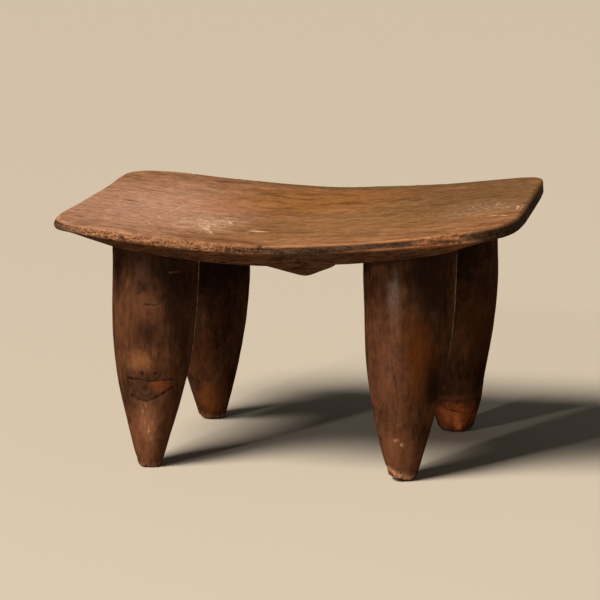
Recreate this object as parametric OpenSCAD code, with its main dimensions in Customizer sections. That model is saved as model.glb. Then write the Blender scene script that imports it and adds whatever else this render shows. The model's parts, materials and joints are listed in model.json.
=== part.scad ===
// Low carved stool of the kind also used as a headrest: a dished seat, a blunt keel
// across its underside and four stout tapering legs. The real one is cut from one block
// of wood; each carved member is a solid of its own here, meeting the seat face to face.
// Millimetres. X runs along the seat, -Y is the front, Z is up from the floor.

/* [Seat] */
// Length of the seat along X, halfway between its long edges
seat_length = 460; // [400:5:560]
// Depth of the seat along Y, from the middle of the front edge to the back corners
seat_depth = 303; // [285:1:340]
// Height of the seat's upper face at its lowest
seat_low = 242; // [220:1:300]
// Rise of the upper face from its lowest place to the ends: left, right
dish_rise = [14.5, 22]; // [5:0.5:30]
// Power of the rise: 1 is a straight slope, 2 a parabola
dish_power = 1.5; // [1.2:0.1:2.4]
// Thickness of the upright edge: along most of the seat, at the right end
rim_thick = [9, 13]; // [6:0.5:14]
// Radius of the worn arris along the edge
rim_round = 2.5; // [1:0.5:3]
// How far the front edge bows out beyond its corners
bow_front = 14; // [0:1:20]
// How far the back edge curves in between its corners
hollow_back = 1; // [0:1:10]
// Slant of the ends, as run along X for each unit of Y: left, right
end_slant = [0, -0.12]; // [-0.2:0.01:0.1]
// Squareness of the corners: back right, back left, front left, front right
corner_power = [10, 8, 11, 6]; // [4:1:14]
// Middle of the seat along X
mid_x = -4; // [-6:1:6]
// Lowest place of the upper face along X
low_x = -19; // [-40:1:30]

/* [Underside] */
// Height of the seat's edge and bevel together
slab_thick = 26.5; // [20:0.5:34]
// How far the bevel comes in along the long sides
bevel_side = 28; // [15:1:32]
// How far the bevel comes in at the ends: left, right
bevel_end = [50, 57]; // [30:1:66]
// Depth of the keel below the underside
keel_depth = 15; // [6:1:18]
// Half width of the keel along X
keel_half = 35; // [20:1:50]
// Bluntness of the keel's ridge: near 0 is sharp
keel_blunt = 0.15; // [0.05:0.05:0.5]
// Place of the keel along X
keel_x = 22; // [-30:1:30]

/* [Legs] */
// Foot centres along X: left pair, right pair
foot_x = [-146, 117]; // [-155:1:125]
// Foot centres along Y, from the middle
foot_y = 103; // [90:1:110]
// How far each leg leans between its foot and the seat: to the right, and inward
leg_lean = [6, 24]; // [0:1:28]
// Half width of the legs where they meet the seat: left pair, right pair
leg_half = [45, 47]; // [36:1:48]
// Depth of a leg over its width
leg_flat = 0.92; // [0.8:0.01:1]
// Foot half widths: front left, front right, back left, back right
foot_half = [11, 13, 13, 17]; // [9:0.5:20]
// Height up to which the legs swell
swell_height = 187; // [120:2:200]

/* [Hidden] */
seat_sides = 80;
leg_sides = 28;
leg_rings = 12;
under_strips = 36;
keel_strips = 12;
past = 2;
round_share = rim_round / rim_thick[0];
mid_y = bow_front / 2;
half_depth = (seat_depth - bow_front) / 2;

// 0 on the left of the seat's lowest place, 1 on its right.
function side(x) = x > low_x ? 1 : 0;

// Distance of x from the lowest place, as a share of the way to the seat's end.
function reach(x) = abs(x - low_x) / (seat_length / 2 + (2 * side(x) - 1) * (mid_x - low_x));

// Height of the upper face, and thickness of the upright edge.
function face_z(x) = seat_low + dish_rise[side(x)] * pow(reach(x), dish_power);
function rim(x) = rim_thick[0] + side(x) * (rim_thick[1] - rim_thick[0]) * pow(reach(x), 4);

// Radius at angle t of a unit circle squared off by power n: 2 is round, 10 nearly square.
function squared(t, n) = pow(pow(abs(cos(t)), n) + pow(abs(sin(t)), n), -1 / n);

// A point of the seat's outline: a squared shape whose long sides bow and whose ends
// slant, drawn in evenly by edge_in and further by a share of the bevel.
function outline(t, edge_in, bevel) = let (
    r = squared(t, corner_power[floor(t / 90)]),
    u = r * cos(t),
    v = r * sin(t),
    end = u > 0 ? 1 : 0,
    bow = v > 0 ? -hollow_back : -bow_front,
    half_x = seat_length / 2 - edge_in - bevel * bevel_end[end],
    half_y = half_depth - edge_in - bevel * bevel_side,
    y = half_y * v + bow * (1 - u * u) * abs(v)
) [mid_x + half_x * u + end_slant[end] * y * abs(u), mid_y + y];

// One ring of the seat, a share of the outline's size, as many edge thicknesses below
// the upper face as rims says, and then a share of the way down the bevel.
function seat_ring(share, edge_in, rims, bevel) = [
    for (i = [0 : seat_sides - 1])
        let (p = share * outline(i * 360 / seat_sides, edge_in, bevel))
        [p.x, p.y, face_z(p.x) - rims * rim(p.x) - bevel * (slab_thick - rim(p.x))]
];

// The middle of a ring of points.
function middle(ring) = [for (p = ring) 1] * ring / len(ring);

// A closed solid through rings of equal length, listed from the top down.
module loft(rings) {
    n = len(rings[0]);
    last = len(rings) - 1;
    points = concat([for (ring = rings) each ring], [middle(rings[0]), middle(rings[last])]);
    top_point = len(points) - 2;
    low_point = len(points) - 1;
    walls = [for (j = [0 : last - 1], i = [0 : n - 1])
        let (a = j * n + i, b = j * n + (i + 1) % n)
        each [[a, b, b + n], [a, b + n, a + n]]];
    top_cap = [for (i = [0 : n - 1]) [top_point, (i + 1) % n, i]];
    low_cap = [for (i = [0 : n - 1]) [low_point, last * n + i, last * n + (i + 1) % n]];
    polyhedron(points, concat(walls, top_cap, low_cap));
}

// Everything below the underside, which runs parallel to the upper face.
module under_space() {
    half = seat_length / 2;
    curve = [for (i = [0 : under_strips])
        let (x = mid_x + half * (2 * i / under_strips - 1)) [x, face_z(x) - slab_thick]];
    rotate([90, 0, 0])
        linear_extrude(height = 2 * seat_depth, center = true)
            polygon(concat(curve, [[mid_x + half, 0], [mid_x - half, 0]]));
}

// The dished slab's top and worn upright edge, over a bevel that is drawn past the
// underside.
module block() {
    loft([
        for (share = [0.2, 0.45, 0.7, 0.9]) seat_ring(share, 0, 0, 0),
        seat_ring(1, rim_round, 0, 0),
        seat_ring(1, rim_round * 0.3, round_share * 0.3, 0),
        seat_ring(1, 0, round_share, 0),
        seat_ring(1, 0, 1 - round_share, 0),
        seat_ring(1, rim_round * 0.6, 1, 0),
        seat_ring(1, 0, 1, past)
    ]);
}

module slab() {
    difference() {
        block();
        under_space();
    }
}

module seat() {
    color("#7d4a28") slab();
}

// Blunt ridge left across the underside from front to back, its ends in line with the
// bevels. Its depth falls off as a hyperbola on both sides of its middle.
module underside_keel() {
    root = face_z(keel_x) - slab_thick;
    e = keel_blunt;
    ridge = [for (i = [-keel_strips : keel_strips])
        let (u = i / keel_strips)
        [keel_x + keel_half * u,
         root - keel_depth * (sqrt(1 + e * e) - sqrt(u * u + e * e)) / (sqrt(1 + e * e) - e)]];
    lid = [[keel_x + keel_half, root + slab_thick], [keel_x - keel_half, root + slab_thick]];
    color("#4a2a1a")
        intersection() {
            block();
            under_space();
            rotate([90, 0, 0])
                linear_extrude(height = seat_depth, center = true)
                    polygon(concat(ridge, lid));
        }
}

// A leg whose half width grows with the sine of its height, from the foot up to
// swell_height, while its centre leans in evenly. It is drawn up into the slab, which
// cuts it off.
module leg(right, back) {
    foot = foot_half[2 * back + right];
    in = 1 - 2 * back;
    top = face_z(foot_x[right]) - slab_thick / 2;
    color("#5a3018")
        difference() {
            loft([for (j = [leg_rings : -1 : 0])
                let (
                    z = top * j / leg_rings,
                    s = sin(90 * min(z / swell_height, 1)),
                    half = foot + (leg_half[right] - foot) * s,
                    deep = half * (1 - (1 - leg_flat) * s),
                    x = foot_x[right] + leg_lean.x * z / top,
                    y = mid_y - in * (foot_y - leg_lean.y * z / top)
                )
                [for (i = [0 : leg_sides - 1])
                    let (t = i * 360 / leg_sides)
                    [x + half * cos(t), y + deep * sin(t), z]]]);
            slab();
        }
}

module leg_front_left() { leg(0, 0); }
module leg_front_right() { leg(1, 0); }
module leg_back_left() { leg(0, 1); }
module leg_back_right() { leg(1, 1); }

seat();
underside_keel();
leg_front_left();
leg_front_right();
leg_back_left();
leg_back_right();
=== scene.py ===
import json

import bpy
import numpy as np
from mathutils import Matrix, Vector


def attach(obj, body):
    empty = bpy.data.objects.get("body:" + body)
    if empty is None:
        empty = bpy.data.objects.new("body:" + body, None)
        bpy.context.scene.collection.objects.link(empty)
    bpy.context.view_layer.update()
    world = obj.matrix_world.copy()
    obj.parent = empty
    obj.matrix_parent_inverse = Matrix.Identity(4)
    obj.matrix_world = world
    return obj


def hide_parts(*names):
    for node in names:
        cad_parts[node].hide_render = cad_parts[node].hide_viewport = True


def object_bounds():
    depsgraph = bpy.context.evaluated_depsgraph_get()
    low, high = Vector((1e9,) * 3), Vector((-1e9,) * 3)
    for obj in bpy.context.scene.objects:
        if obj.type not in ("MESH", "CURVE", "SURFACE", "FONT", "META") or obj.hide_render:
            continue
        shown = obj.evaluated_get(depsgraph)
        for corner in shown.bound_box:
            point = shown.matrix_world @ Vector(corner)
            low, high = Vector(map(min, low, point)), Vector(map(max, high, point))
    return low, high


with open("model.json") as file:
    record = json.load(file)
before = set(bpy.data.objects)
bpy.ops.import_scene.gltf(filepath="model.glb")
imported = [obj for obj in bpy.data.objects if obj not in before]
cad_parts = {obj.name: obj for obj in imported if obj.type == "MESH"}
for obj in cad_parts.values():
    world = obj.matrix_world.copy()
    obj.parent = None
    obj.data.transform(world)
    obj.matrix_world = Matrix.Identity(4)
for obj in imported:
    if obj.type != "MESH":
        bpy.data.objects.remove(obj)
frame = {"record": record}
cad_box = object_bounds()

# ---------------------------------------------------------------------------------------
# The seat: a dished slab with round corners, hewn with an adze from one block of dark
# wood. Its upright edge is worn and crumbled, and a bevel leads under it to the legs.
# ---------------------------------------------------------------------------------------

seat_length = 0.460
seat_depth = 0.303
bow_front = 0.014
hollow_back = 0.001
end_slant = np.array([0.0, -0.12])
corner_power = np.array([10.0, 8.5, 11.0, 6.0])
seat_mid = np.array([-0.004, bow_front / 2])
seat_low = 0.242
low_x = -0.019
dish_rise = np.array([0.0145, 0.022])
dish_power = 1.5
rim_thick = np.array([0.009, 0.013])
arris_round = 0.0022
slab_thick = 0.0265
bevel_side = 0.028
bevel_end = np.array([0.050, 0.057])
corner_out = 0.0040
corner_lift = 0.0022
nose_out = 0.0022
nose_trim = 0.0016
extra_round_left = 0.9
extra_round_right = 2.0
wear_reach = 0.0035
chip_depth = 0.0012
pit_depth = 0.0013
nick_depth = 0.0016
seat_around = 1100


def uneven(points, cell, seed):
    """Smooth random field between -1 and 1: a random number at each corner of a lattice of
    the given cell size, blended between the corners with a smoothstep along each axis."""
    place = points / np.asarray(cell)
    corner = np.floor(place).astype(np.int64)
    share = place - corner
    share = share * share * (3 - 2 * share)
    lattice = np.random.default_rng(seed).uniform(-1, 1, (64, 64, 64))
    total = np.zeros(points.shape[:-1])
    for step in np.ndindex(2, 2, 2):
        weight = np.prod(np.where(step, share, 1 - share), axis=-1)
        at = (corner + step) % 64
        total += weight * lattice[at[..., 0], at[..., 1], at[..., 2]]
    return total


def between(value, start, end):
    """0 at start, 1 at end, and a smoothstep between them."""
    share = np.clip((value - start) / (end - start), 0, 1)
    return share * share * (3 - 2 * share)


def hump(value, middle, half):
    """Bell curve: 1 at the middle, falling to 1/e at a half width from it."""
    return np.exp(-(((value - middle) / half) ** 2))


def face_z(x):
    """Height of the seat's upper face: its lowest height plus a rise that grows with the
    distance from the lowest place, as a share of the way to the end, to a power."""
    right = (x > low_x).astype(int)
    way = seat_length / 2 + (2 * right - 1) * (seat_mid[0] - low_x)
    return seat_low + dish_rise[right] * (np.abs(x - low_x) / way) ** dish_power


def rim_height(x):
    """Height of the upright edge: even, and thicker towards the right end by a power of 4."""
    reach = np.clip((x - low_x) / (seat_length / 2 + seat_mid[0] - low_x), 0, 1)
    return rim_thick[0] + (rim_thick[1] - rim_thick[0]) * reach**4


def outline(turn, inset, bevel):
    """The seat's outline at an angle: a circle squared off by a power that differs at each
    corner, scaled to the half sizes, its long sides bowed and its ends slanted."""
    power = corner_power[(np.floor(turn / (np.pi / 2)).astype(int)) % 4]
    radius = (np.abs(np.cos(turn)) ** power + np.abs(np.sin(turn)) ** power) ** (-1 / power)
    u, v = radius * np.cos(turn), radius * np.sin(turn)
    end = (u > 0).astype(int)
    half_x = seat_length / 2 - inset - bevel * bevel_end[end]
    half_y = (seat_depth - bow_front) / 2 - inset - bevel * bevel_side
    y = half_y * v + np.where(v > 0, -hollow_back, -bow_front) * (1 - u * u) * np.abs(v)
    return half_x * u + end_slant[end] * y * np.abs(u) + seat_mid[0], y + seat_mid[1]


def outward(grid):
    """Unit normals of a closed grid of rings listed downwards: the cross product of the
    differences along and around it. The first ring faces up and the last one down."""
    around = np.roll(grid, -1, axis=1) - np.roll(grid, 1, axis=1)
    normal = np.cross(np.gradient(grid, axis=0), around)
    normal /= np.maximum(np.linalg.norm(normal, axis=-1, keepdims=True), 1e-12)
    normal[0], normal[-1] = (0, 0, 1), (0, 0, -1)
    return normal


def new_object(name, data):
    """An object in the scene that holds a mesh, a lamp or a camera."""
    made = bpy.data.objects.new(name, data)
    bpy.context.scene.collection.objects.link(made)
    return made


def closed_mesh(name, grid, marks):
    """A mesh from rings of points listed downwards: quads join the rings, and a fan to the
    middle of the first and last ring closes each end. marks are values for each point."""
    rings, count = grid.shape[:2]
    ends = np.array([grid[0].mean(axis=0), grid[-1].mean(axis=0)])
    points = np.concatenate([grid.reshape(-1, 3), ends])
    index = np.arange(rings * count).reshape(rings, count)
    after = np.roll(index, -1, axis=1)
    quads = np.stack([index[:-1], index[1:], after[1:], after[:-1]], axis=-1).reshape(-1, 4)
    top, bottom = rings * count, rings * count + 1
    first = np.stack([np.full(count, top), index[0], after[0]], axis=-1)
    last = np.stack([np.full(count, bottom), after[-1], index[-1]], axis=-1)
    mesh = bpy.data.meshes.new(name)
    mesh.from_pydata(points.tolist(), [], quads.tolist() + first.tolist() + last.tolist())
    for key, value in marks.items():
        flat = np.concatenate([value.ravel(), [value[0].mean(), value[-1].mean()]])
        mesh.attributes.new(key, "FLOAT", "POINT").data.foreach_set("value", flat.astype("f4"))
    mesh.polygons.foreach_set("use_smooth", np.ones(len(mesh.polygons), bool))
    return new_object(name, mesh)


# Each ring lies a share of the outline's size in from it, a fixed inset, a drop below the
# upper face, a share of the edge's height and a share of the bevel.
quarter = np.linspace(0, np.pi / 2, 7)
top_share = 1 - (1 - np.linspace(0.02, 1, 40)) ** 1.5
edge_share = np.linspace(0, 1, 12)[1:]
bevel_share = np.linspace(0, 1, 13)[1:]
under_share = np.linspace(1, 0.02, 13)[1:]
arris = arris_round * (1 - np.sin(quarter))
steps = [
    (top_share, arris_round, 0, 0, 0),
    (1, arris[1:], arris_round * (1 - np.cos(quarter[1:])), 0, 0),
    (1, 0, arris_round * (1 - edge_share), edge_share, 0),
    (1, 0, 0, 1, bevel_share),
    (under_share, 0, 0, 1, 1),
]
rings = np.concatenate([np.stack(np.broadcast_arrays(*step), axis=-1) for step in steps])
size, inset, drop, edge, bevel = (rings[:, i : i + 1] for i in range(5))

# Points stand evenly along the outline.
dense = np.linspace(0, 2 * np.pi, 7201)
run = np.hypot(*(np.diff(side) for side in outline(dense, 0, 0)))
run = np.concatenate([[0], np.cumsum(run)])
turn = np.interp(np.arange(seat_around) / seat_around * run[-1], run, dense)[None, :]

# The arris is rubbed rounder at both ends, most of all at the right.
rounder = 1 + extra_round_right * between(np.cos(turn), 0.70, 0.93)
rounder += extra_round_left * between(-np.cos(turn), 0.75, 0.93)
inset, drop = inset * rounder, drop * rounder
across, deep = outline(turn, inset, bevel)
across, deep = size * across, size * deep
# The back left corner stands out a little further than the rest of the end.
across = across - corner_out * size**8 * hump(across, -0.236, 0.030) * hump(deep, 0.112, 0.042)
edge_height = rim_height(across)
height = face_z(across) - drop - edge * edge_height - bevel * (slab_thick - edge_height)
# The back right corner stands a little proud.
height = height + corner_lift * hump(across, 0.228, 0.055) * hump(deep, 0.140, 0.070)
seat_grid = np.stack([across, deep, height], axis=-1)
seat_normal = outward(seat_grid)

# How near each point is to the upright edge, to its upper arris and to the front. Across
# the upper face and down the bevel the way to the edge is taken at its average length.
face_way = 0.19
bevel_way = 0.035
near_rim = hump((1 - size) * face_way + bevel * bevel_way, 0, wear_reach)
ring_number = np.arange(len(rings))[:, None]
near_arris = hump(ring_number, len(top_share) + 2, 3)
front = between(deep, -0.075, -0.110) * between(np.abs(across), 0.236, 0.215)
# The edge is crumbled along the front left and splintered at the front right.
crumbled = between(deep, -0.085, -0.118) * between(across, -0.225, -0.175)
crumbled *= between(across, -0.010, -0.045)
splintered = front * between(across, 0.135, 0.165) * between(across, 0.205, 0.185)

# Chips and pits eat into the edge, three nicks cross it, and the adze left it all uneven.
lumps = 0.5 * uneven(seat_grid, 0.0085, 11) + 0.5 * uneven(seat_grid, 0.0030, 12)
lumps += 0.8 * uneven(seat_grid, 0.0015, 13)
chip = np.clip(0.35 + lumps, 0, 1.6) * near_rim
along_arrises = hump(edge + bevel, 0.0, 0.35) + hump(edge + bevel, 0.9, 0.2)
chip *= crumbled + 1.3 * splintered * along_arrises + 0.16
pit = 0.9 * uneven(seat_grid, 0.0030, 14) + 0.7 * uneven(seat_grid, 0.0017, 15)
pit = np.clip(pit - 0.30, 0, 1)
pit *= near_rim * (crumbled + 0.3 * splintered)
nick = hump(across, -0.0075, 0.0018) * front * near_rim * between(edge + bevel, 0.45, 0.25)
nick += hump(across, -0.151, 0.0020) * front * near_rim * (edge > 0.3) * (bevel < 0.1)
nick += 0.4 * hump(across, -0.172, 0.0016) * (deep > 0.10) * near_rim
hewn = 0.0006 * uneven(seat_grid, (0.070, 0.034, 0.05), 16)
hewn += 0.00025 * uneven(seat_grid, (0.024, 0.012, 0.02), 17)
hewn *= (1 - 0.8 * near_rim) * (1 - hump(across, 0.022, 0.045) * between(bevel, 0, 0.5))
wavy = 0.0004 * uneven(seat_grid, (0.035, 0.035, 0.2), 18) * near_rim
# The left end is rubbed to a blunt nose, widest low on its upright edge.
nose = between(across, -0.196, -0.230)
level = edge + 3 * bevel
blunt = nose_out * nose * hump(level, 0.8, 0.55) * (size > 0.99) - nose_trim * nose * near_arris
sunk = chip_depth * chip + pit_depth * pit + nick_depth * nick
seat_grid = seat_grid + seat_normal * (hewn + wavy + blunt - sunk)[..., None]

# Raw wood and dirt show from the upper arris down, not on the upper face.
on_face = between(np.maximum(drop / arris_round, edge > 0), 0.5, 1.0)
crumbs = 0.9 * crumbled * between(across, -0.040, -0.060) * between(bevel, 0.1, 0)
crumbs += splintered * np.clip(0.30 + 0.9 * uneven(seat_grid, (0.014, 0.01, 0.0022), 22), 0, 1)

# On the left the lower part of the edge, below a wavy cut, is as dark as the bevel.
cut = 1 - 0.36 * between(across, -0.200, -0.160) * between(across, 0.010, -0.010)
cut = cut - 0.30 * hump(across, -0.022, 0.030) + 0.10 * uneven(seat_grid, (0.006, 0.006, 0.02), 21)
low_dark = between(level, cut, cut + 0.18) * front * between(across, 0.045, 0.020)

# The lower arris is rubbed bare towards the right.
low_arris = hump(level, 1.0, 0.22) * front * (0.8 + 0.5 * uneven(seat_grid, (0.012, 0.012, 0.012), 20))
low_arris *= 0.9 * between(across, 0.060, 0.095) * between(across, 0.215, 0.195)

# The upper arris is rubbed too, less along the left front and at the back, and not at the
# right end.
worn_arris = near_arris * (0.65 + 0.35 * uneven(seat_grid, (0.02, 0.02, 0.02), 19))
worn_arris *= between(across, 0.215, 0.185) * (0.35 + 0.65 * between(deep, 0.02, -0.08))
worn_arris *= 1 - 0.75 * front * between(across, 0.040, 0.000)

# Smooth masks for the finish: the upright edge, all below it, bare wood, arrises and dirt.
on_edge = between(edge, -0.05, 0.12) * between(bevel, 0.12, 0.0) * between(drop + edge, 0, 0.001)
raw_wood = (chip + crumbs) * on_face * (1 - 0.5 * between(level, 0.6, 1.0))
grubby = 1.1 * pit * on_face + 0.5 * crumbled * hump(level, cut + 0.10, 0.12) + nick
end_edge = between(across, 0.205, 0.222) * between(drop, 0.0010, 0.0050)
on_edge = np.maximum(on_edge, end_edge * between(bevel, 0.12, 0.0))
seat = closed_mesh(
    "seat_board",
    seat_grid,
    {
        "rim": on_edge,
        "under": np.maximum(between(bevel, 0.0, 0.15), low_dark),
        "bare": np.clip(raw_wood, 0, 1),
        "arris": np.clip(worn_arris + low_arris, 0, 1),
        "dirt": np.clip(grubby, 0, 1),
    },
)
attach(seat, "root")
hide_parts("seat")


def feed(tree, made, feeds):
    """Gives a node's sockets their values or links."""
    for key, value in feeds.items():
        if isinstance(value, bpy.types.NodeSocket):
            tree.links.new(value, made.inputs[key])
        else:
            made.inputs[key].default_value = value


def add(tree, kind, feeds=None, **settings):
    """A shader node. settings are its properties; feeds gives its sockets values or links."""
    made = tree.nodes.new("ShaderNode" + kind)
    for key, value in settings.items():
        setattr(made, key, value)
    feed(tree, made, feeds or {})
    return made


def sums(tree, how, first, second=0.0, third=0.0, clamp=False):
    """One step of arithmetic on masks."""
    feeds = {0: first, 1: second, 2: third}
    return add(tree, "Math", feeds, operation=how, use_clamp=clamp).outputs[0]


def tint(tree, share, under, over, how="MIX"):
    """The colour over laid on the colour under, by a share."""
    feeds = {0: share, 6: under, 7: over}
    return add(tree, "Mix", feeds, data_type="RGBA", blend_type=how).outputs[2]


def soft_step(tree, value, start, end, low=0.0, high=1.0):
    """Runs smoothly from low to high as the value goes from start to end."""
    feeds = {0: value, 1: start, 2: end, 3: low, 4: high}
    return add(tree, "MapRange", feeds, interpolation_type="SMOOTHSTEP").outputs[0]


def mottle(tree, vector, cell, detail=2.0, roughness=0.5):
    """Noise between 0 and 1 with the given cell size in metres along each axis."""
    scale = tuple(1 / side for side in cell)
    place = add(tree, "Mapping", {"Vector": vector, "Scale": scale}).outputs[0]
    feeds = {"Vector": place, "Scale": 1.0, "Detail": detail, "Roughness": roughness}
    return add(tree, "TexNoise", feeds).outputs[0]


def shader_group(name, inputs, outputs):
    """An empty node group: inputs are (name, kind, value), outputs are (name, kind)."""
    tree = bpy.data.node_groups.new(name, "ShaderNodeTree")
    for key, kind, value in inputs:
        socket = tree.interface.new_socket(key, in_out="INPUT", socket_type="NodeSocket" + kind)
        if value is not None:
            socket.default_value = value
    for key, kind in outputs:
        tree.interface.new_socket(key, in_out="OUTPUT", socket_type="NodeSocket" + kind)
    return tree, tree.nodes.new("NodeGroupInput").outputs, tree.nodes.new("NodeGroupOutput").inputs


def use_group(tree, group, feeds):
    """Places a node group in a material and feeds its inputs."""
    made = tree.nodes.new("ShaderNodeGroup")
    made.node_tree = group
    feed(tree, made, feeds)
    return made.outputs


# Wood grain that runs along X: broad wavy figure, streaks, fine fibres and open pores.
grain, given, result = shader_group(
    "wood_grain",
    [("Vector", "Vector", None), ("Wave", "Float", 0.010)],
    [("Figure", "Float"), ("Streak", "Float"), ("Fibre", "Float"), ("Pores", "Float")],
)
drift = mottle(grain, given["Vector"], (0.110, 0.050, 0.050), 1.0)
drift = sums(grain, "MULTIPLY", sums(grain, "SUBTRACT", drift, 0.5), given["Wave"])
bend = add(grain, "CombineXYZ", {"X": 0.0, "Y": drift, "Z": drift}).outputs[0]
bent = add(grain, "VectorMath", {0: given["Vector"], 1: bend}, operation="ADD").outputs[0]
figure = mottle(grain, bent, (0.120, 0.013, 0.013), 2.0)
streak = mottle(grain, bent, (0.050, 0.0040, 0.0040), 4.0, 0.6)
fibre = mottle(grain, bent, (0.016, 0.0007, 0.0007), 2.0)
pores = mottle(grain, bent, (0.009, 0.0008, 0.0008), 1.0)
grain.links.new(soft_step(grain, figure, 0.32, 0.68), result["Figure"])
grain.links.new(soft_step(grain, streak, 0.30, 0.70), result["Streak"])
grain.links.new(fibre, result["Fibre"])
grain.links.new(soft_step(grain, pores, 0.66, 0.74), result["Pores"])

# A soft patch around a centre. Torn is noise that breaks its edge.
patch, given, result = shader_group(
    "patch",
    [("Vector", "Vector", None), ("Centre", "Vector", None), ("Reach", "Vector", (1, 1, 1)),
     ("Torn", "Float", 0.0)],
    [("Mask", "Float")],
)
away = add(patch, "VectorMath", {0: given["Vector"], 1: given["Centre"]}, operation="SUBTRACT")
away = add(patch, "VectorMath", {0: away.outputs[0], 1: given["Reach"]}, operation="DIVIDE")
far = add(patch, "VectorMath", {0: away.outputs[0]}, operation="LENGTH").outputs["Value"]
patch.links.new(soft_step(patch, sums(patch, "ADD", far, given["Torn"]), 1.15, 0.25), result["Mask"])


def in_patch(tree, place, centre, reach, torn, strength):
    """How far a place lies in a soft patch, times the patch's strength."""
    feeds = {"Vector": place, "Centre": centre, "Reach": reach, "Torn": torn}
    return sums(tree, "MULTIPLY", use_group(tree, patch, feeds)["Mask"], strength)


def torn_edge(tree, place, amount):
    """Noise around 0 that breaks the edges of patches."""
    noise = mottle(tree, place, (0.008, 0.008, 0.008), 4.0)
    return sums(tree, "MULTIPLY", sums(tree, "SUBTRACT", noise, 0.5), amount)


def nearest_scratch(tree, vector, scratches):
    """Distance to the nearest of many thin ellipses from one point to another, as a share of
    their half widths: each is a turned and stretched copy of the plane."""
    nearest = 9.0
    for (x0, y0), (x1, y1), half in scratches:
        feeds = {
            "Vector": vector, "Location": ((x0 + x1) / 2, (y0 + y1) / 2, 0),
            "Rotation": (0, 0, np.arctan2(y1 - y0, x1 - x0)),
            "Scale": (np.hypot(x1 - x0, y1 - y0) / 2, half, 1),
        }
        local = add(tree, "Mapping", feeds, vector_type="TEXTURE").outputs[0]
        away = add(tree, "VectorMath", {0: local}, operation="LENGTH").outputs["Value"]
        nearest = sums(tree, "MINIMUM", nearest, away)
    return nearest


def mask_of(tree, name):
    """A mask that the mesh carries."""
    return add(tree, "Attribute", attribute_name=name).outputs["Fac"]


def new_finish(name):
    """An empty material with its shader and the piece's own coordinates."""
    material = bpy.data.materials.new(name)
    material.use_nodes = True
    tree = material.node_tree
    place = add(tree, "TexCoord").outputs["Object"]
    return material, tree, tree.nodes["Principled BSDF"], place


def ramp(tree, value, *stops):
    """A colour for each value: stops are (place, colour)."""
    made = add(tree, "ValToRGB", {0: value})
    made.color_ramp.elements[1].position = 1.0
    while len(made.color_ramp.elements) < len(stops):
        made.color_ramp.elements.new(0.5)
    for element, (position, colour) in zip(made.color_ramp.elements, stops):
        element.position = position
        element.color = (*colour, 1)
    return made.outputs[0]


seat_wood, tree, shader, place = new_finish("worn_seat_wood")
wood = use_group(tree, grain, {"Vector": place, "Wave": 0.030})
cloud = mottle(tree, place, (0.060, 0.035, 0.035), 3.0)
tone = sums(tree, "MULTIPLY", wood["Figure"], 0.26)
tone = sums(tree, "MULTIPLY_ADD", wood["Streak"], 0.22, tone)
tone = sums(tree, "MULTIPLY_ADD", wood["Fibre"], 0.22, tone)
tone = sums(tree, "MULTIPLY_ADD", cloud, 0.30, tone)
colour = ramp(
    tree, tone,
    (0.20, (0.110, 0.046, 0.018)), (0.42, (0.195, 0.088, 0.038)),
    (0.60, (0.260, 0.124, 0.056)), (0.82, (0.340, 0.175, 0.086)),
)
# Rosy and pale on the left, partly rubbed wood and partly a painted sheen of light; amber in the middle,
# browner towards the right.
regions = [
    ((-0.165, -0.020, 0.25), (0.130, 0.170, 0.06), (0.400, 0.225, 0.150), 0.75),
    ((-0.095, 0.020, 0.25), (0.060, 0.045, 0.06), (0.350, 0.150, 0.078), 0.60),
    ((-0.010, 0.070, 0.25), (0.130, 0.090, 0.06), (0.240, 0.100, 0.026), 0.70),
    ((0.070, -0.050, 0.25), (0.130, 0.080, 0.06), (0.215, 0.112, 0.044), 0.55),
    ((0.170, 0.060, 0.25), (0.135, 0.140, 0.06), (0.138, 0.073, 0.030), 0.85),
    ((0.050, 0.142, 0.25), (0.260, 0.020, 0.06), (0.100, 0.062, 0.026), 0.60),
]
torn = torn_edge(tree, place, 0.8)
for centre, reach, shade, strength in regions:
    share = in_patch(tree, place, centre, reach, torn, strength)
    colour = tint(tree, share, colour, (*shade, 1))
# Fine strokes along the grain and small blotches lie over the broad shades.
drift = sums(tree, "SUBTRACT", mottle(tree, place, (0.050, 0.035, 0.035), 2.0), 0.5)
drift = add(tree, "CombineXYZ", {0: 0.0, 1: sums(tree, "MULTIPLY", drift, 0.050), 2: 0.0}).outputs[0]
wavy_place = add(tree, "VectorMath", {0: place, 1: drift}, operation="ADD").outputs[0]
strokes = mottle(tree, wavy_place, (0.030, 0.0022, 0.0022), 4.0, 0.65)
blotch = mottle(tree, place, (0.011, 0.007, 0.007), 3.0, 0.6)
lines = sums(tree, "MULTIPLY", strokes, 0.50)
lines = sums(tree, "MULTIPLY_ADD", wood["Fibre"], 0.22, lines)
lines = sums(tree, "MULTIPLY_ADD", blotch, 0.28, lines)
shading = ramp(
    tree, lines,
    (0.39, (0.57, 0.54, 0.54)), (0.50, (0.90, 0.90, 0.92)), (0.61, (1.22, 1.24, 1.30)),
)
colour = tint(tree, 1.0, colour, shading, "MULTIPLY")
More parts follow.
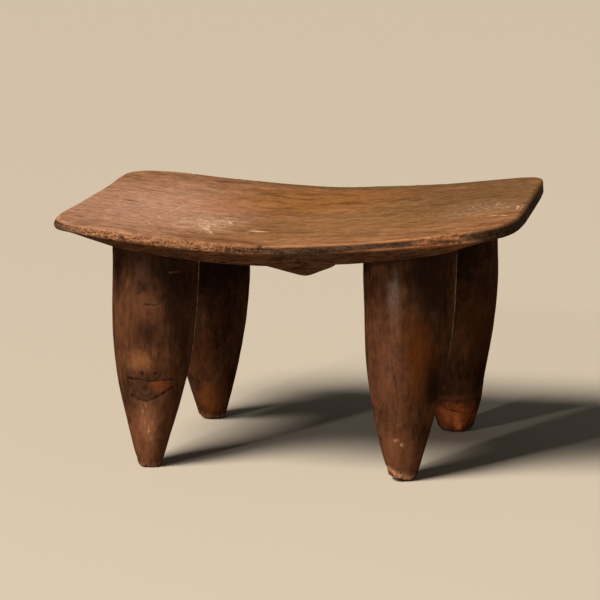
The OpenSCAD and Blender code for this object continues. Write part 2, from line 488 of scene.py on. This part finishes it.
# Dark flame figure behind the middle, and dark dashes where the grain dips.
dashes = [
    ((-0.187, -0.008), (0.017, 0.0030), 0.75), ((-0.184, 0.045), (0.045, 0.006), 0.45),
    ((-0.127, 0.128), (0.030, 0.007), 0.55), ((0.191, 0.128), (0.012, 0.006), 0.60),
    ((-0.045, 0.085), (0.045, 0.006), 0.60), ((-0.010, 0.105), (0.050, 0.006), 0.60),
    ((0.020, 0.055), (0.040, 0.006), 0.55), ((-0.035, 0.030), (0.040, 0.005), 0.50),
    ((0.080, 0.075), (0.045, 0.007), 0.45), ((-0.100, -0.030), (0.040, 0.006), 0.30),
]
dash_brown = (0.070, 0.032, 0.013, 1)
for (x, y), (long, wide), strength in dashes:
    share = in_patch(tree, wavy_place, (x, y, 0.25), (long, wide, 0.05), torn, strength)
    colour = tint(tree, share, colour, dash_brown)
pore_brown = (0.060, 0.028, 0.012, 1)
colour = tint(tree, sums(tree, "MULTIPLY", wood["Pores"], 0.55), colour, pore_brown)
# Pale scratches, from and to, in metres on the upper face.
deep_scratches = [
    ((-0.096, -0.076), (-0.085, -0.055), 0.0018), ((-0.090, -0.078), (-0.064, -0.121), 0.0018),
    ((-0.096, -0.074), (-0.075, -0.106), 0.0014), ((-0.077, -0.041), (-0.060, -0.069), 0.0013),
    ((-0.088, -0.058), (-0.077, -0.104), 0.0012), ((-0.104, -0.060), (-0.070, -0.056), 0.0014),
    ((-0.100, -0.070), (-0.072, -0.074), 0.0014), ((-0.085, -0.066), (-0.070, -0.084), 0.0015),
    ((0.216, -0.010), (0.222, -0.038), 0.0020),
    ((0.210, -0.058), (0.221, -0.066), 0.0018), ((0.196, -0.058), (0.212, -0.056), 0.0012),
]
faint_scratches = [
    ((-0.141, -0.069), (-0.127, 0.043), 0.0014), ((-0.157, -0.001), (-0.163, 0.033), 0.0012),
    ((-0.143, 0.013), (-0.133, -0.002), 0.0012), ((-0.113, -0.084), (-0.107, -0.066), 0.0013),
    ((-0.112, -0.078), (-0.092, -0.050), 0.0012), ((-0.072, -0.066), (-0.062, -0.046), 0.0014),
    ((-0.130, -0.050), (-0.118, -0.062), 0.0012), ((-0.080, -0.090), (-0.056, -0.096), 0.0012),
    ((-0.148, -0.085), (-0.125, -0.112), 0.0012), ((-0.120, -0.100), (-0.100, -0.095), 0.0012),
    ((0.193, -0.020), (0.192, 0.022), 0.0012), ((0.167, 0.007), (0.168, -0.004), 0.0016),
    ((0.205, -0.030), (0.212, 0.004), 0.0011), ((0.150, -0.080), (0.158, -0.076), 0.0014),
    ((0.225, -0.040), (0.222, -0.014), 0.0012), ((-0.046, -0.080), (-0.030, -0.078), 0.0016),
]
wander = add(tree, "TexNoise", {"Vector": place, "Scale": 85.0, "Detail": 2.0}).outputs["Color"]
wander = add(tree, "VectorMath", {0: wander, 1: (0.5, 0.5, 0.5)}, operation="SUBTRACT").outputs[0]
wander = add(tree, "VectorMath", {0: wander, 1: (0.005, 0.005, 0)}, operation="MULTIPLY").outputs[0]
flat = add(tree, "VectorMath", {0: place, 1: (1, 1, 0), 2: wander}, operation="MULTIPLY_ADD").outputs[0]
strong = soft_step(tree, nearest_scratch(tree, flat, deep_scratches), 1.1, 0.35, 0.0, 1.0)
faint = soft_step(tree, nearest_scratch(tree, flat, faint_scratches), 1.3, 0.4, 0.0, 0.55)
broken = soft_step(tree, mottle(tree, place, (0.004, 0.004, 0.004), 3.0), 0.35, 0.60)
pale = sums(tree, "MULTIPLY", sums(tree, "MAXIMUM", strong, faint), broken)
# Hair scratches: the borders between small cells, broken up, in a few rubbed places.
cells = add(tree, "TexVoronoi", {"Vector": flat, "Scale": 130.0}, feature="DISTANCE_TO_EDGE")
hair = soft_step(tree, cells.outputs["Distance"], 0.085, 0.020)
hair = sums(tree, "MULTIPLY", hair, broken)
rubbed_places = [
    ((-0.085, -0.070, 0.25), (0.040, 0.046, 0.05), 0.85),
    ((-0.135, -0.010, 0.25), (0.060, 0.080, 0.05), 0.22),
    ((0.185, -0.015, 0.25), (0.055, 0.060, 0.05), 0.40),
]
rubbed = 0.0
torn_wide = sums(tree, "MULTIPLY", torn, 2.0)
for centre, reach, strength in rubbed_places:
    mark = in_patch(tree, place, centre, reach, torn_wide, strength)
    rubbed = sums(tree, "MAXIMUM", rubbed, mark)
pale = sums(tree, "MAXIMUM", pale, sums(tree, "MULTIPLY", hair, rubbed))
pale = sums(tree, "MULTIPLY_ADD", rubbed, 0.14, pale)
# One broad pale scrape lies right of them.
scrape = in_patch(tree, flat, (-0.030, -0.0855, 0), (0.013, 0.0034, 1), 0.0, 1.0)
pale = sums(tree, "MAXIMUM", pale, scrape)
topside = sums(tree, "SUBTRACT", 1.0, mask_of(tree, "under"), clamp=True)
pale = sums(tree, "MULTIPLY", pale, topside)
scratch_pale = (0.600, 0.420, 0.300, 1)
colour = tint(tree, sums(tree, "MULTIPLY", pale, 0.75, clamp=True), colour, scratch_pale)
# The upright edge is grey-brown, the bevel and the underside dark and reddish.
worn = mottle(tree, place, (0.014, 0.014, 0.0022), 4.0, 0.7)
edge_shade = ramp(
    tree, worn,
    (0.38, (0.009, 0.005, 0.0035)), (0.50, (0.026, 0.016, 0.011)), (0.66, (0.080, 0.047, 0.031)),
)
# Painted shade: the right end face, turned away from the key, is painted near black.
share = in_patch(tree, place, (0.236, 0.000, 0.25), (0.050, 0.170, 0.06), torn, 1.0)
right_end_shade = (0.012, 0.005, 0.002, 1)
edge_shade = tint(tree, share, edge_shade, right_end_shade)
colour = tint(tree, sums(tree, "MULTIPLY", mask_of(tree, "rim"), 0.97), colour, edge_shade)
under_shade = ramp(tree, lines, (0.43, (0.026, 0.0105, 0.0053)), (0.57, (0.108, 0.0490, 0.0260)))
colour = tint(tree, mask_of(tree, "under"), colour, under_shade)
# Rubbed arrises and crumbled wood show bare and orange, with dirt in their pits.
crumb = mottle(tree, place, (0.0017, 0.0017, 0.0014), 3.0, 0.7)
crumb_shade = ramp(tree, crumb, (0.38, (0.085, 0.036, 0.017)), (0.54, (0.380, 0.185, 0.095)))
share = in_patch(tree, place, (0.172, -0.125, 0.240), (0.046, 0.050, 0.030), torn, 0.8)
splinter_brown = (0.230, 0.080, 0.030, 1)
crumb_shade = tint(tree, share, crumb_shade, splinter_brown)
rubbed_orange = (0.400, 0.170, 0.075, 1)
colour = tint(tree, sums(tree, "MULTIPLY", mask_of(tree, "arris"), 0.75), colour, rubbed_orange)
colour = tint(tree, mask_of(tree, "bare"), colour, crumb_shade)
dirt_brown = (0.040, 0.016, 0.007, 1)
colour = tint(tree, sums(tree, "MULTIPLY", mask_of(tree, "dirt"), 0.9), colour, dirt_brown)
relief = sums(tree, "MULTIPLY", wood["Fibre"], 0.35)
relief = sums(tree, "MULTIPLY_ADD", wood["Streak"], 0.55, relief)
relief = sums(tree, "MULTIPLY_ADD", wood["Pores"], -0.5, relief)
relief = sums(tree, "MULTIPLY_ADD", pale, -0.4, relief)
relief = sums(tree, "MULTIPLY_ADD", sums(tree, "MULTIPLY", crumb, mask_of(tree, "bare")), 3.0, relief)
gloss = sums(tree, "MULTIPLY_ADD", wood["Streak"], -0.10, 0.52)
gloss = sums(tree, "MULTIPLY_ADD", mask_of(tree, "bare"), 0.30, gloss)
gloss = sums(tree, "MULTIPLY_ADD", mask_of(tree, "under"), 0.35, gloss)
bump = add(tree, "Bump", {"Height": relief, "Distance": 0.0004, "Strength": 0.8})
tree.links.new(colour, shader.inputs["Base Color"])
tree.links.new(gloss, shader.inputs["Roughness"])
tree.links.new(bump.outputs[0], shader.inputs["Normal"])
tree.links.new(sums(tree, "MULTIPLY", topside, 0.05), shader.inputs["Coat Weight"])
shader.inputs["Specular IOR Level"].default_value = 0.0
shader.inputs["Coat Roughness"].default_value = 0.30
seat.data.materials.append(seat_wood)

# ---------------------------------------------------------------------------------------
# The legs: four stout posts of the same block, swelling from a small foot up to the seat.
# They are hewn in long facets and darkened by oil and hands; their feet are worn raw.
# Shade under the seat and on the right sides is painted on, and so is light on the back right foot.
# ---------------------------------------------------------------------------------------

leg_lean = (0.006, 0.024)
leg_flat = 0.92
swell_height = 0.187
arris_side = np.radians(7)
arris_half = np.radians(3)
raw_chip = 0.001
leg_around = 288
mounts = {mount["name"]: mount["pos_m"] for mount in frame["record"]["mounts"]}


def near_path(x, z, path, half):
    """Bell curve of the distance, seen from the front, to a line through points (x, z)."""
    nearest = np.full(x.shape, 1.0)
    for (x0, z0), (x1, z1) in zip(path[:-1], path[1:]):
        long = (x1 - x0) ** 2 + (z1 - z0) ** 2
        share = np.clip(((x - x0) * (x1 - x0) + (z - z0) * (z1 - z0)) / long, 0, 1)
        away = np.hypot(x - x0 - share * (x1 - x0), z - z0 - share * (z1 - z0))
        nearest = np.minimum(nearest, away)
    return hump(nearest, 0, half)


def leg_mesh(name, foot, foot_half, top_half, fuller, seed, knots, lines, chips, cut, foot_round,
             arris=1.0):
    """Rings down a post whose half width grows with the sine of its height, while its centre
    leans in evenly; fuller is (height, reach, extra half width, shift). Knots are raised rings
    (x, z, radius), lines are cracks or broken arrises (mark, depth, half width, points), chips
    are (x, z, half x, half z, depth), cut is how far the sole slopes up at the left, and arris
    is the height down to which a rubbed arris runs along the leg's right side. A height above
    the leg leaves the arris out."""
    foot_x, foot_y = foot[:2]
    inward = 1 if foot_y < seat_mid[1] else -1
    top = face_z(np.array(foot_x)) - slab_thick / 2
    # The rings run out over the top, down the side, round the foot's arris and in over the sole.
    fan = np.linspace(0.1, 1, 5)
    fall = np.linspace(top, foot_round, 262)[1:]
    curl = np.linspace(0, np.pi / 2, 6)[1:]
    sole_fan = np.linspace(1, 0.1, 8)[1:]
    rounding = foot_round / foot_half
    size = [fan, np.ones_like(fall), 1 - rounding * (1 - np.cos(curl)), (1 - rounding) * sole_fan]
    size = np.concatenate(size)[:, None]
    z = [np.full_like(fan, top), fall, foot_round * (1 - np.sin(curl)), 0 * sole_fan]
    z = np.concatenate(z)[:, None]
    angle = (np.arange(leg_around) * 2 * np.pi / leg_around)[None, :]
    swell = np.sin(np.pi / 2 * np.clip(z / swell_height, 0, 1))
    half = foot_half + (top_half - foot_half) * swell
    shift = 0 * z
    for middle, reach, extra, aside in fuller:
        half = half + extra * hump(z, middle, reach)
        shift = shift + aside * hump(z, middle, reach)
    x = foot_x + leg_lean[0] * z / top + shift + size * half * np.cos(angle)
    y = foot_y + inward * leg_lean[1] * z / top
    y = y + size * half * (1 - (1 - leg_flat) * swell) * np.sin(angle)
    grid = np.stack(np.broadcast_arrays(x, y, z), axis=-1)
    normal = outward(grid)
    # Long facets, shorter tool marks and fine unevenness.
    around = np.stack(np.broadcast_arrays(np.cos(angle), np.sin(angle), z), axis=-1)
    hewn = 0.0012 * uneven(around, (0.55, 0.55, 0.090), seed)
    hewn += 0.0005 * uneven(grid, (0.018, 0.018, 0.040), seed + 1)
    hewn += 0.00015 * uneven(grid, (0.005, 0.005, 0.010), seed + 2)
    faces_front = between(normal[..., 1], 0.0, -0.3)
    dirt, bare = 0 * x, 0 * x
    # A knot swells in a ring around its sunk dark middle, with two dark rings outside.
    for kx, kz, radius in knots:
        away = np.hypot(x - kx, z - kz) / radius
        away = away + 0.25 * uneven(grid, 0.004, seed + 7)
        hewn += faces_front * (0.0004 * hump(away, 1.1, 0.35) - 0.0004 * hump(away, 0, 0.6))
        ring = 0.9 * hump(away, 0, 0.75) + 0.45 * hump(away, 1.45, 0.25) + 0.25 * hump(away, 2.1, 0.25)
        dirt = np.maximum(dirt, faces_front * ring)
    for mark, depth, wide, path in lines:
        line = faces_front * near_path(x, z, path, wide)
        line = np.clip(line * (0.8 + 0.6 * uneven(grid, 0.004, seed + 3)), 0, 1)
        hewn -= depth * line
        if mark == "bare":
            bare = np.maximum(bare, line)
        else:
            dirt = np.maximum(dirt, line)
    for cx, cz, half_x, half_z, depth in chips:
        spot = faces_front * hump(x, cx, half_x) * hump(z, cz, half_z)
        spot = np.clip(spot * (1.3 + 0.9 * uneven(grid, 0.0025, seed + 4)) - 0.15, 0, 1)
        hewn -= depth * spot
        bare = np.maximum(bare, min(depth / raw_chip, 0.9) * spot)
    ragged = between(z, 0.016, 0.002) * np.clip(uneven(grid, (0.004, 0.004, 0.006), seed + 5), 0, 1)
    hewn -= 0.0018 * ragged * (size > 0.95)
    grid = grid + normal * hewn[..., None] * np.where(z > 0.0005, 1, 0)[..., None]
    # The sole slopes up towards its front left by the cut, and nothing goes below the floor.
    sole = between(z, 0.030, 0.0)
    share = np.clip((foot_x + foot_half - grid[..., 0]) / (2 * foot_half), 0, 1)
    lift = cut * share * between(grid[..., 1], foot_y + foot_half, foot_y - foot_half)
    grid[..., 2] = np.maximum(grid[..., 2], 0) + lift * sole
    bare = np.maximum(bare, 0.35 * between(z, 0.007, 0.001) * (1 + uneven(grid, 0.003, seed + 6)))
    # Painted shadow of the seat: a mask that darkens the top of the leg where the seat shades it.
    grime = between(z, top - 0.028, top - 0.010) + 0 * x
    off_arris = np.angle(np.exp(1j * (angle - arris_side)))
    rubbed = hump(off_arris, 0, arris_half) * between(z, arris - 0.015, arris + 0.015)
    marks = {"bare": np.clip(bare, 0, 1), "dirt": np.clip(dirt, 0, 1), "grime": grime, "arris": rubbed}
    return closed_mesh(name, grid, marks)


def leg_finish(name, patches, polished):
    """Dark oiled wood with upright streaks: patches are (centre, reach, colour, strength) and
    polished places are (centre, reach, strength)."""
    material, tree, shader, place = new_finish(name)
    turned = add(tree, "Mapping", {"Vector": place, "Rotation": (0, np.pi / 2, 0)}).outputs[0]
    wood = use_group(tree, grain, {"Vector": turned, "Wave": 0.022})
    cloud = mottle(tree, place, (0.026, 0.026, 0.040), 4.0, 0.6)
    rub = mottle(tree, place, (0.0050, 0.0050, 0.0110), 4.0, 0.65)
    tone = sums(tree, "MULTIPLY", cloud, 0.46)
    tone = sums(tree, "MULTIPLY_ADD", rub, 0.26, tone)
    tone = sums(tree, "MULTIPLY_ADD", wood["Streak"], 0.08, tone)
    tone = sums(tree, "MULTIPLY_ADD", wood["Fibre"], 0.09, tone)
    tone = sums(tree, "ADD", tone, 0.055)
    colour = ramp(
        tree, tone,
        (0.36, (0.018, 0.0078, 0.0045)), (0.47, (0.047, 0.0190, 0.0098)),
        (0.57, (0.085, 0.0350, 0.0170)), (0.70, (0.142, 0.0610, 0.0300)),
    )
    torn = torn_edge(tree, place, 0.9)
    for centre, reach, shade, strength in patches:
        share = in_patch(tree, place, centre, reach, torn, strength)
        share = sums(tree, "MULTIPLY", share, sums(tree, "MULTIPLY_ADD", rub, 1.2, 0.35), clamp=True)
        colour = tint(tree, share, colour, (*shade, 1))
    # Painted shadow of the seat darkens the top of each leg.
    seat_shadow_black = (0.020, 0.009, 0.006, 1)
    grime = sums(tree, "MULTIPLY", mask_of(tree, "grime"), 0.55)
    colour = tint(tree, grime, colour, seat_shadow_black)
    crumb = mottle(tree, place, (0.0025, 0.0025, 0.0035), 3.0, 0.7)
    raw = ramp(tree, crumb, (0.35, (0.180, 0.060, 0.026)), (0.65, (0.600, 0.330, 0.200)))
    colour = tint(tree, sums(tree, "MULTIPLY", mask_of(tree, "bare"), 0.85), colour, raw)
    dirt_black = (0.012, 0.007, 0.006, 1)
    dirt = sums(tree, "MULTIPLY", mask_of(tree, "dirt"), 0.85)
    colour = tint(tree, dirt, colour, dirt_black)
    relief = sums(tree, "MULTIPLY", wood["Streak"], 0.15)
    relief = sums(tree, "MULTIPLY_ADD", wood["Fibre"], 0.25, relief)
    relief = sums(tree, "MULTIPLY_ADD", rub, 2.4, relief)
    relief = sums(tree, "MULTIPLY_ADD", cloud, 1.2, relief)
    relief = sums(tree, "MULTIPLY_ADD", sums(tree, "MULTIPLY", crumb, mask_of(tree, "bare")), 2.0, relief)
    gloss = sums(tree, "MULTIPLY_ADD", rub, -0.25, 0.50)
    gloss = sums(tree, "MULTIPLY_ADD", mask_of(tree, "bare"), 0.30, gloss)
    bump = add(tree, "Bump", {"Height": relief, "Distance": 0.0005, "Strength": 0.8})
    tree.links.new(colour, shader.inputs["Base Color"])
    tree.links.new(gloss, shader.inputs["Roughness"])
    tree.links.new(bump.outputs[0], shader.inputs["Normal"])
    if polished:
        polish = sums(tree, "MULTIPLY", mask_of(tree, "arris"), 0.35)
        for centre, reach, strength in polished:
            share = in_patch(tree, place, centre, reach, torn, strength)
            polish = sums(tree, "MAXIMUM", polish, share)
        grained = mottle(tree, place, (0.0022, 0.0022, 0.0050), 3.0, 0.6)
        polish = sums(tree, "MULTIPLY", polish, soft_step(tree, grained, 0.42, 0.56, 0.10, 1.0))
        tree.links.new(polish, shader.inputs["Coat Weight"])
    shader.inputs["Specular IOR Level"].default_value = 0.0
    shader.inputs["Coat Roughness"].default_value = 0.07
    return material


orange = (0.160, 0.050, 0.014)
tan = (0.210, 0.085, 0.034)
rosy = (0.110, 0.041, 0.021)
low_rosy = (0.150, 0.058, 0.028)
# shade_and_dark_wood is painted shade on the leg tops under the seat and on the right sides away from the
# key, and dark wood in a few spots.
shade_and_dark_wood = (0.013, 0.0070, 0.0048)
front_left_crack = [(-0.160, 0.094), (-0.150, 0.0935), (-0.1355, 0.092), (-0.1155, 0.093)]
crescent = [(-0.156, 0.076), (-0.148, 0.0725), (-0.141, 0.071), (-0.134, 0.0735),
            (-0.127, 0.077), (-0.117, 0.0845)]
legs = {
    "leg_front_left": dict(
        foot_half=0.011, top_half=0.045, seed=31, cut=0.001, foot_round=0.004, arris=0.105,
        fuller=[(0.190, 0.050, -0.001, 0.001)],
        knots=[(-0.1408, 0.0838, 0.0045), (-0.1430, 0.1000, 0.0040), (-0.1300, 0.0995, 0.0030)],
        lines=[("dirt", 0.0012, 0.0011, front_left_crack), ("dirt", 0.0010, 0.0010, crescent),
               ("dirt", 0.0006, 0.0016, [(-0.1480, 0.0905), (-0.1360, 0.0915)]),
               ("dirt", 0.0006, 0.0008, [(-0.1390, 0.171), (-0.1270, 0.1695)]),
               ("dirt", 0.0006, 0.0012, [(-0.1440, 0.193), (-0.1460, 0.181), (-0.1400, 0.186)])],
        # Low on this leg the small pale chips are partly real chips and partly painted glossy highlights.
        chips=[(-0.1420, 0.0665, 0.0010, 0.0030, 0.0006), (-0.1410, 0.0410, 0.0012, 0.0045, 0.0006),
               (-0.1440, 0.0500, 0.0009, 0.0050, 0.0004), (-0.1395, 0.0330, 0.0009, 0.0040, 0.0005),
               (-0.1455, 0.0620, 0.0008, 0.0030, 0.0004), (-0.1365, 0.0480, 0.0008, 0.0040, 0.0003),
               (-0.1285, 0.1690, 0.0040, 0.0008, 0.0002), (-0.1120, 0.202, 0.0050, 0.0008, 0.0003)],
        patches=[((-0.145, -0.118, 0.112), (0.016, 0.03, 0.014), tan, 0.75),
                 ((-0.127, -0.112, 0.087), (0.012, 0.03, 0.009), orange, 0.80),
                 ((-0.150, -0.112, 0.150), (0.026, 0.03, 0.045), rosy, 0.32),
                 ((-0.143, -0.118, 0.168), (0.010, 0.03, 0.016), rosy, 0.50),
                 ((-0.140, -0.118, 0.206), (0.010, 0.03, 0.018), (0.085, 0.040, 0.027), 0.55),
                 ((-0.136, -0.118, 0.142), (0.015, 0.03, 0.014), shade_and_dark_wood, 0.65),
                 ((-0.170, -0.100, 0.200), (0.007, 0.04, 0.045), shade_and_dark_wood, 0.75),
                 ((-0.115, -0.110, 0.205), (0.022, 0.05, 0.040), shade_and_dark_wood, 0.85),
                 ((-0.112, -0.110, 0.165), (0.014, 0.05, 0.050), shade_and_dark_wood, 0.65),
                 ((-0.145, -0.110, 0.035), (0.026, 0.04, 0.042), low_rosy, 0.75),
                 ((-0.142, -0.112, 0.048), (0.011, 0.03, 0.026), (0.240, 0.095, 0.046), 0.60)],
        polished=[((-0.142, -0.115, 0.055), (0.014, 0.03, 0.040), 0.40),
                  ((-0.142, -0.120, 0.190), (0.014, 0.03, 0.030), 0.20)],
    ),
    "leg_front_right": dict(
        foot_half=0.013, top_half=0.047, seed=41, cut=0.006, foot_round=0.002, arris=0.085,
        fuller=[(0.165, 0.045, -0.0017, 0.0017)],
        knots=[],
        lines=[("dirt", 0.0008, 0.0008, [(0.1180, 0.110), (0.1195, 0.101), (0.1200, 0.092)]),
               ("dirt", 0.0005, 0.0004, [(0.1150, 0.128), (0.1165, 0.114), (0.1165, 0.104)]),
               ("bare", 0.0014, 0.0034, [(0.1065, 0.0090), (0.118, 0.0055), (0.132, 0.0020)])],
        chips=[(0.1170, 0.0445, 0.0028, 0.0016, 0.0010), (0.1220, 0.0400, 0.0018, 0.0022, 0.0010),
               (0.1190, 0.0600, 0.0010, 0.0010, 0.0006)],
        patches=[((0.143, -0.116, 0.130), (0.018, 0.04, 0.062), (0.082, 0.023, 0.0045), 0.80),
                 ((0.112, -0.118, 0.110), (0.022, 0.03, 0.055), rosy, 0.60),
                 # The grey-lilac strip here is a painted sheen around the leg's highlight.
                 ((0.118, -0.118, 0.190), (0.009, 0.03, 0.034), (0.095, 0.062, 0.056), 0.60),
                 ((0.152, -0.106, 0.098), (0.008, 0.04, 0.030), shade_and_dark_wood, 0.85),
                 ((0.155, -0.112, 0.200), (0.030, 0.05, 0.060), shade_and_dark_wood, 0.80),
                 ((0.120, -0.118, 0.025), (0.026, 0.04, 0.034), low_rosy, 0.75)],
        polished=[((0.118, -0.120, 0.198), (0.006, 0.03, 0.022), 1.0),
                  ((0.116, -0.120, 0.120), (0.012, 0.03, 0.030), 0.30)],
    ),
    "leg_back_left": dict(
        foot_half=0.013, top_half=0.045, seed=51, cut=0.003, foot_round=0.003,
        fuller=[], knots=[], lines=[], chips=[],
        patches=[((-0.140, 0.088, 0.024), (0.018, 0.04, 0.022), orange, 0.85),
                 ((-0.145, 0.080, 0.080), (0.022, 0.05, 0.036), (0.075, 0.025, 0.009), 0.48),
                 ((-0.130, 0.060, 0.190), (0.075, 0.08, 0.085), shade_and_dark_wood, 0.95)],
    ),
    "leg_back_right": dict(
        foot_half=0.0165, top_half=0.047, seed=61, cut=0.001, foot_round=0.007,
        fuller=[(0.030, 0.020, 0.0012, 0.001)], knots=[],
        lines=[("dirt", 0.0005, 0.0010, [(0.1080, 0.0310), (0.1180, 0.0275), (0.1300, 0.0240)])],
        chips=[],
        # The orange foot and its bright streak are painted light: the foot is painted brighter, as if
        # lit, and the streak is a painted highlight.
        patches=[((0.122, 0.085, 0.018), (0.026, 0.04, 0.022), (0.540, 0.145, 0.046), 0.90),
                 ((0.1245, 0.092, 0.012), (0.0045, 0.02, 0.016), (0.900, 0.290, 0.085), 0.9),
                 ((0.128, 0.080, 0.0405), (0.024, 0.05, 0.0045), (0.160, 0.060, 0.034), 0.80),
                 ((0.150, 0.080, 0.130), (0.022, 0.06, 0.060), (0.060, 0.020, 0.007), 0.60),
                 ((0.125, 0.060, 0.205), (0.065, 0.08, 0.075), shade_and_dark_wood, 0.95)],
    ),
}
for name, sizes in legs.items():
    patches = sizes.pop("patches")
    polished = sizes.pop("polished", [])
    leg = leg_mesh(name + "_post", foot=mounts[name.replace("leg", "foot")], **sizes)
    leg.data.materials.append(leg_finish(name + "_wood", patches, polished))
    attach(leg, "root")
    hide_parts(name)

# ---------------------------------------------------------------------------------------
# The keel: a blunt ridge left across the underside from front to back, where the carver
# brought the bevels together. Its front end runs on in line with the front bevel.
# ---------------------------------------------------------------------------------------

keel_x = 0.022
keel_half = 0.035
keel_depth = 0.015
keel_blunt = 0.15
keel_gap = 0.0002
keel_tuck = 0.004

u = np.linspace(-1, 1, 160)[None, :]
depth = np.sqrt(1 + keel_blunt**2) - np.sqrt(u * u + keel_blunt**2)
depth = keel_depth * depth / (np.sqrt(1 + keel_blunt**2) - keel_blunt)
root = face_z(np.array(keel_x)) - slab_thick
# Across it, the depth falls off from the ridge to both sides as a hyperbola.
low_side = np.stack([keel_x + keel_half * u, 0 * u, root - depth], axis=-1)
high_side = np.stack([keel_x + keel_half * u, 0 * u, root + keel_tuck + 0 * u], axis=-1)
section = np.concatenate([low_side, high_side[:, ::-1]], axis=1)
station = np.linspace(0, 1, 200)[:, None]
keel_grid = np.repeat(section, len(station), axis=0)
# The ends lie in the planes of the bevels, which come in as they go down. The hidden part
# above the underside stops short of them.
keel_across, keel_height = keel_grid[..., 0], keel_grid[..., 2]
edge_height = rim_height(keel_across)
share = (face_z(keel_across) - edge_height - keel_height) / (slab_thick - edge_height)
bow = 1 - ((keel_across - seat_mid[0]) / (seat_length / 2 - share * bevel_end[1])) ** 2
half_y = (seat_depth - bow_front) / 2 - share * bevel_side
half_y -= keel_gap + keel_tuck * between(share, 1.0, 0.9)
front_y = seat_mid[1] - half_y - bow_front * bow
back_y = seat_mid[1] + half_y - hollow_back * bow
keel_grid[..., 1] = back_y + (front_y - back_y) * station
cap_share = np.linspace(0.05, 1, 14)[:, None, None]
back_cap = keel_grid[0].mean(axis=0) * (1 - cap_share) + keel_grid[0] * cap_share
front_cap = keel_grid[-1].mean(axis=0) * (1 - cap_share) + keel_grid[-1] * cap_share
keel_grid = np.concatenate([back_cap[:-1], keel_grid, front_cap[::-1][1:]])
keel_wave = 0.0005 * uneven(keel_grid, (0.030, 0.040, 0.030), 71)
keel_grid[..., 2] += keel_wave * (keel_grid[..., 2] < root - 0.001)
keel = closed_mesh(
    "underside_ridge", keel_grid,
    {"under": np.ones(keel_grid.shape[:2]), "rim": np.zeros(keel_grid.shape[:2])},
)
keel.data.materials.append(seat_wood)
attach(keel, "root")
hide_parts("underside_keel")

# ---------------------------------------------------------------------------------------
# The studio: a plain pale floor, a warm soft key from the upper left, a small accent from the
# front that picks out the polished legs, a wide fill from the right and a faint pale sky.
# ---------------------------------------------------------------------------------------

floor_half = 14.0
floor_mesh = bpy.data.meshes.new("floor")
corners = [(x * floor_half, y * floor_half, 0) for x, y in [(-1, -1), (1, -1), (1, 1), (-1, 1)]]
floor_mesh.from_pydata(corners, [], [(0, 1, 2, 3)])
floor = new_object("floor", floor_mesh)
floor.location.z = cad_box[0].z
floor_paint = bpy.data.materials.new("pale_floor")
floor_paint.use_nodes = True
paint = floor_paint.node_tree.nodes["Principled BSDF"].inputs
paint["Base Color"].default_value = (0.44, 0.40, 0.34, 1)
paint["Roughness"].default_value = 0.85
floor.data.materials.append(floor_paint)

# What the lamps and the camera look at.
middle = Vector((-0.016, 0.007, 0.153))


def direction(azimuth, elevation):
    """Unit vector out of the stool: the azimuth turns from the front to the right, the
    elevation rises from the floor, both in degrees."""
    a, e = np.radians([azimuth, elevation])
    return Vector((np.sin(a) * np.cos(e), -np.cos(a) * np.cos(e), np.sin(e)))


def light(name, kind, azimuth, elevation, distance, energy, colour):
    """A lamp that looks at the middle of the stool from a direction."""
    lamp = bpy.data.lights.new(name, kind)
    lamp.energy = energy
    lamp.color = colour
    toward = direction(azimuth, elevation)
    made = new_object(name, lamp)
    made.location = middle + toward * distance
    made.rotation_euler = toward.to_track_quat("Z", "Y").to_euler()
    return lamp


accent = light("accent", "AREA", -24, 26, distance=2.6, energy=14, colour=(1.0, 0.92, 0.82))
accent.size = 0.12
fill = light("fill", "AREA", 65, 25, distance=2.6, energy=1.0, colour=(1.0, 0.94, 0.86))
fill.size = 1.8

# The key is a sun with a wide disc, so that the floor is lit evenly.
key = light("key", "SUN", -40, 52, distance=0.0, energy=5.5, colour=(1.0, 0.90, 0.77))
key.angle = np.radians(24)

sky = bpy.data.worlds.new("studio")
sky.use_nodes = True
glow = sky.node_tree.nodes["Background"].inputs
glow["Color"].default_value = (0.95, 0.90, 0.82, 1)
glow["Strength"].default_value = 0.09
bpy.context.scene.world = sky
bpy.context.scene.view_settings.view_transform = "Standard"

# The camera stands in front and a little to the right, and is slightly rolled.
camera_azimuth = 16.97
camera_elevation = 12.46
camera_roll = np.radians(-1.31)
camera_distance = 4.6065
back = direction(camera_azimuth, camera_elevation)
right = direction(camera_azimuth + 90, 0)
up = back.cross(right)
rolled_right = right * np.cos(camera_roll) + up * np.sin(camera_roll)
rolled_up = up * np.cos(camera_roll) - right * np.sin(camera_roll)
turned = Matrix((rolled_right, rolled_up, back)).transposed().to_4x4()
lens = bpy.data.cameras.new("camera")
lens.sensor_width = 36
lens.lens = 273.56
lens.clip_end = 60
camera = new_object("camera", lens)
camera.matrix_world = Matrix.Translation(middle + back * camera_distance) @ turned
bpy.context.scene.camera = camera
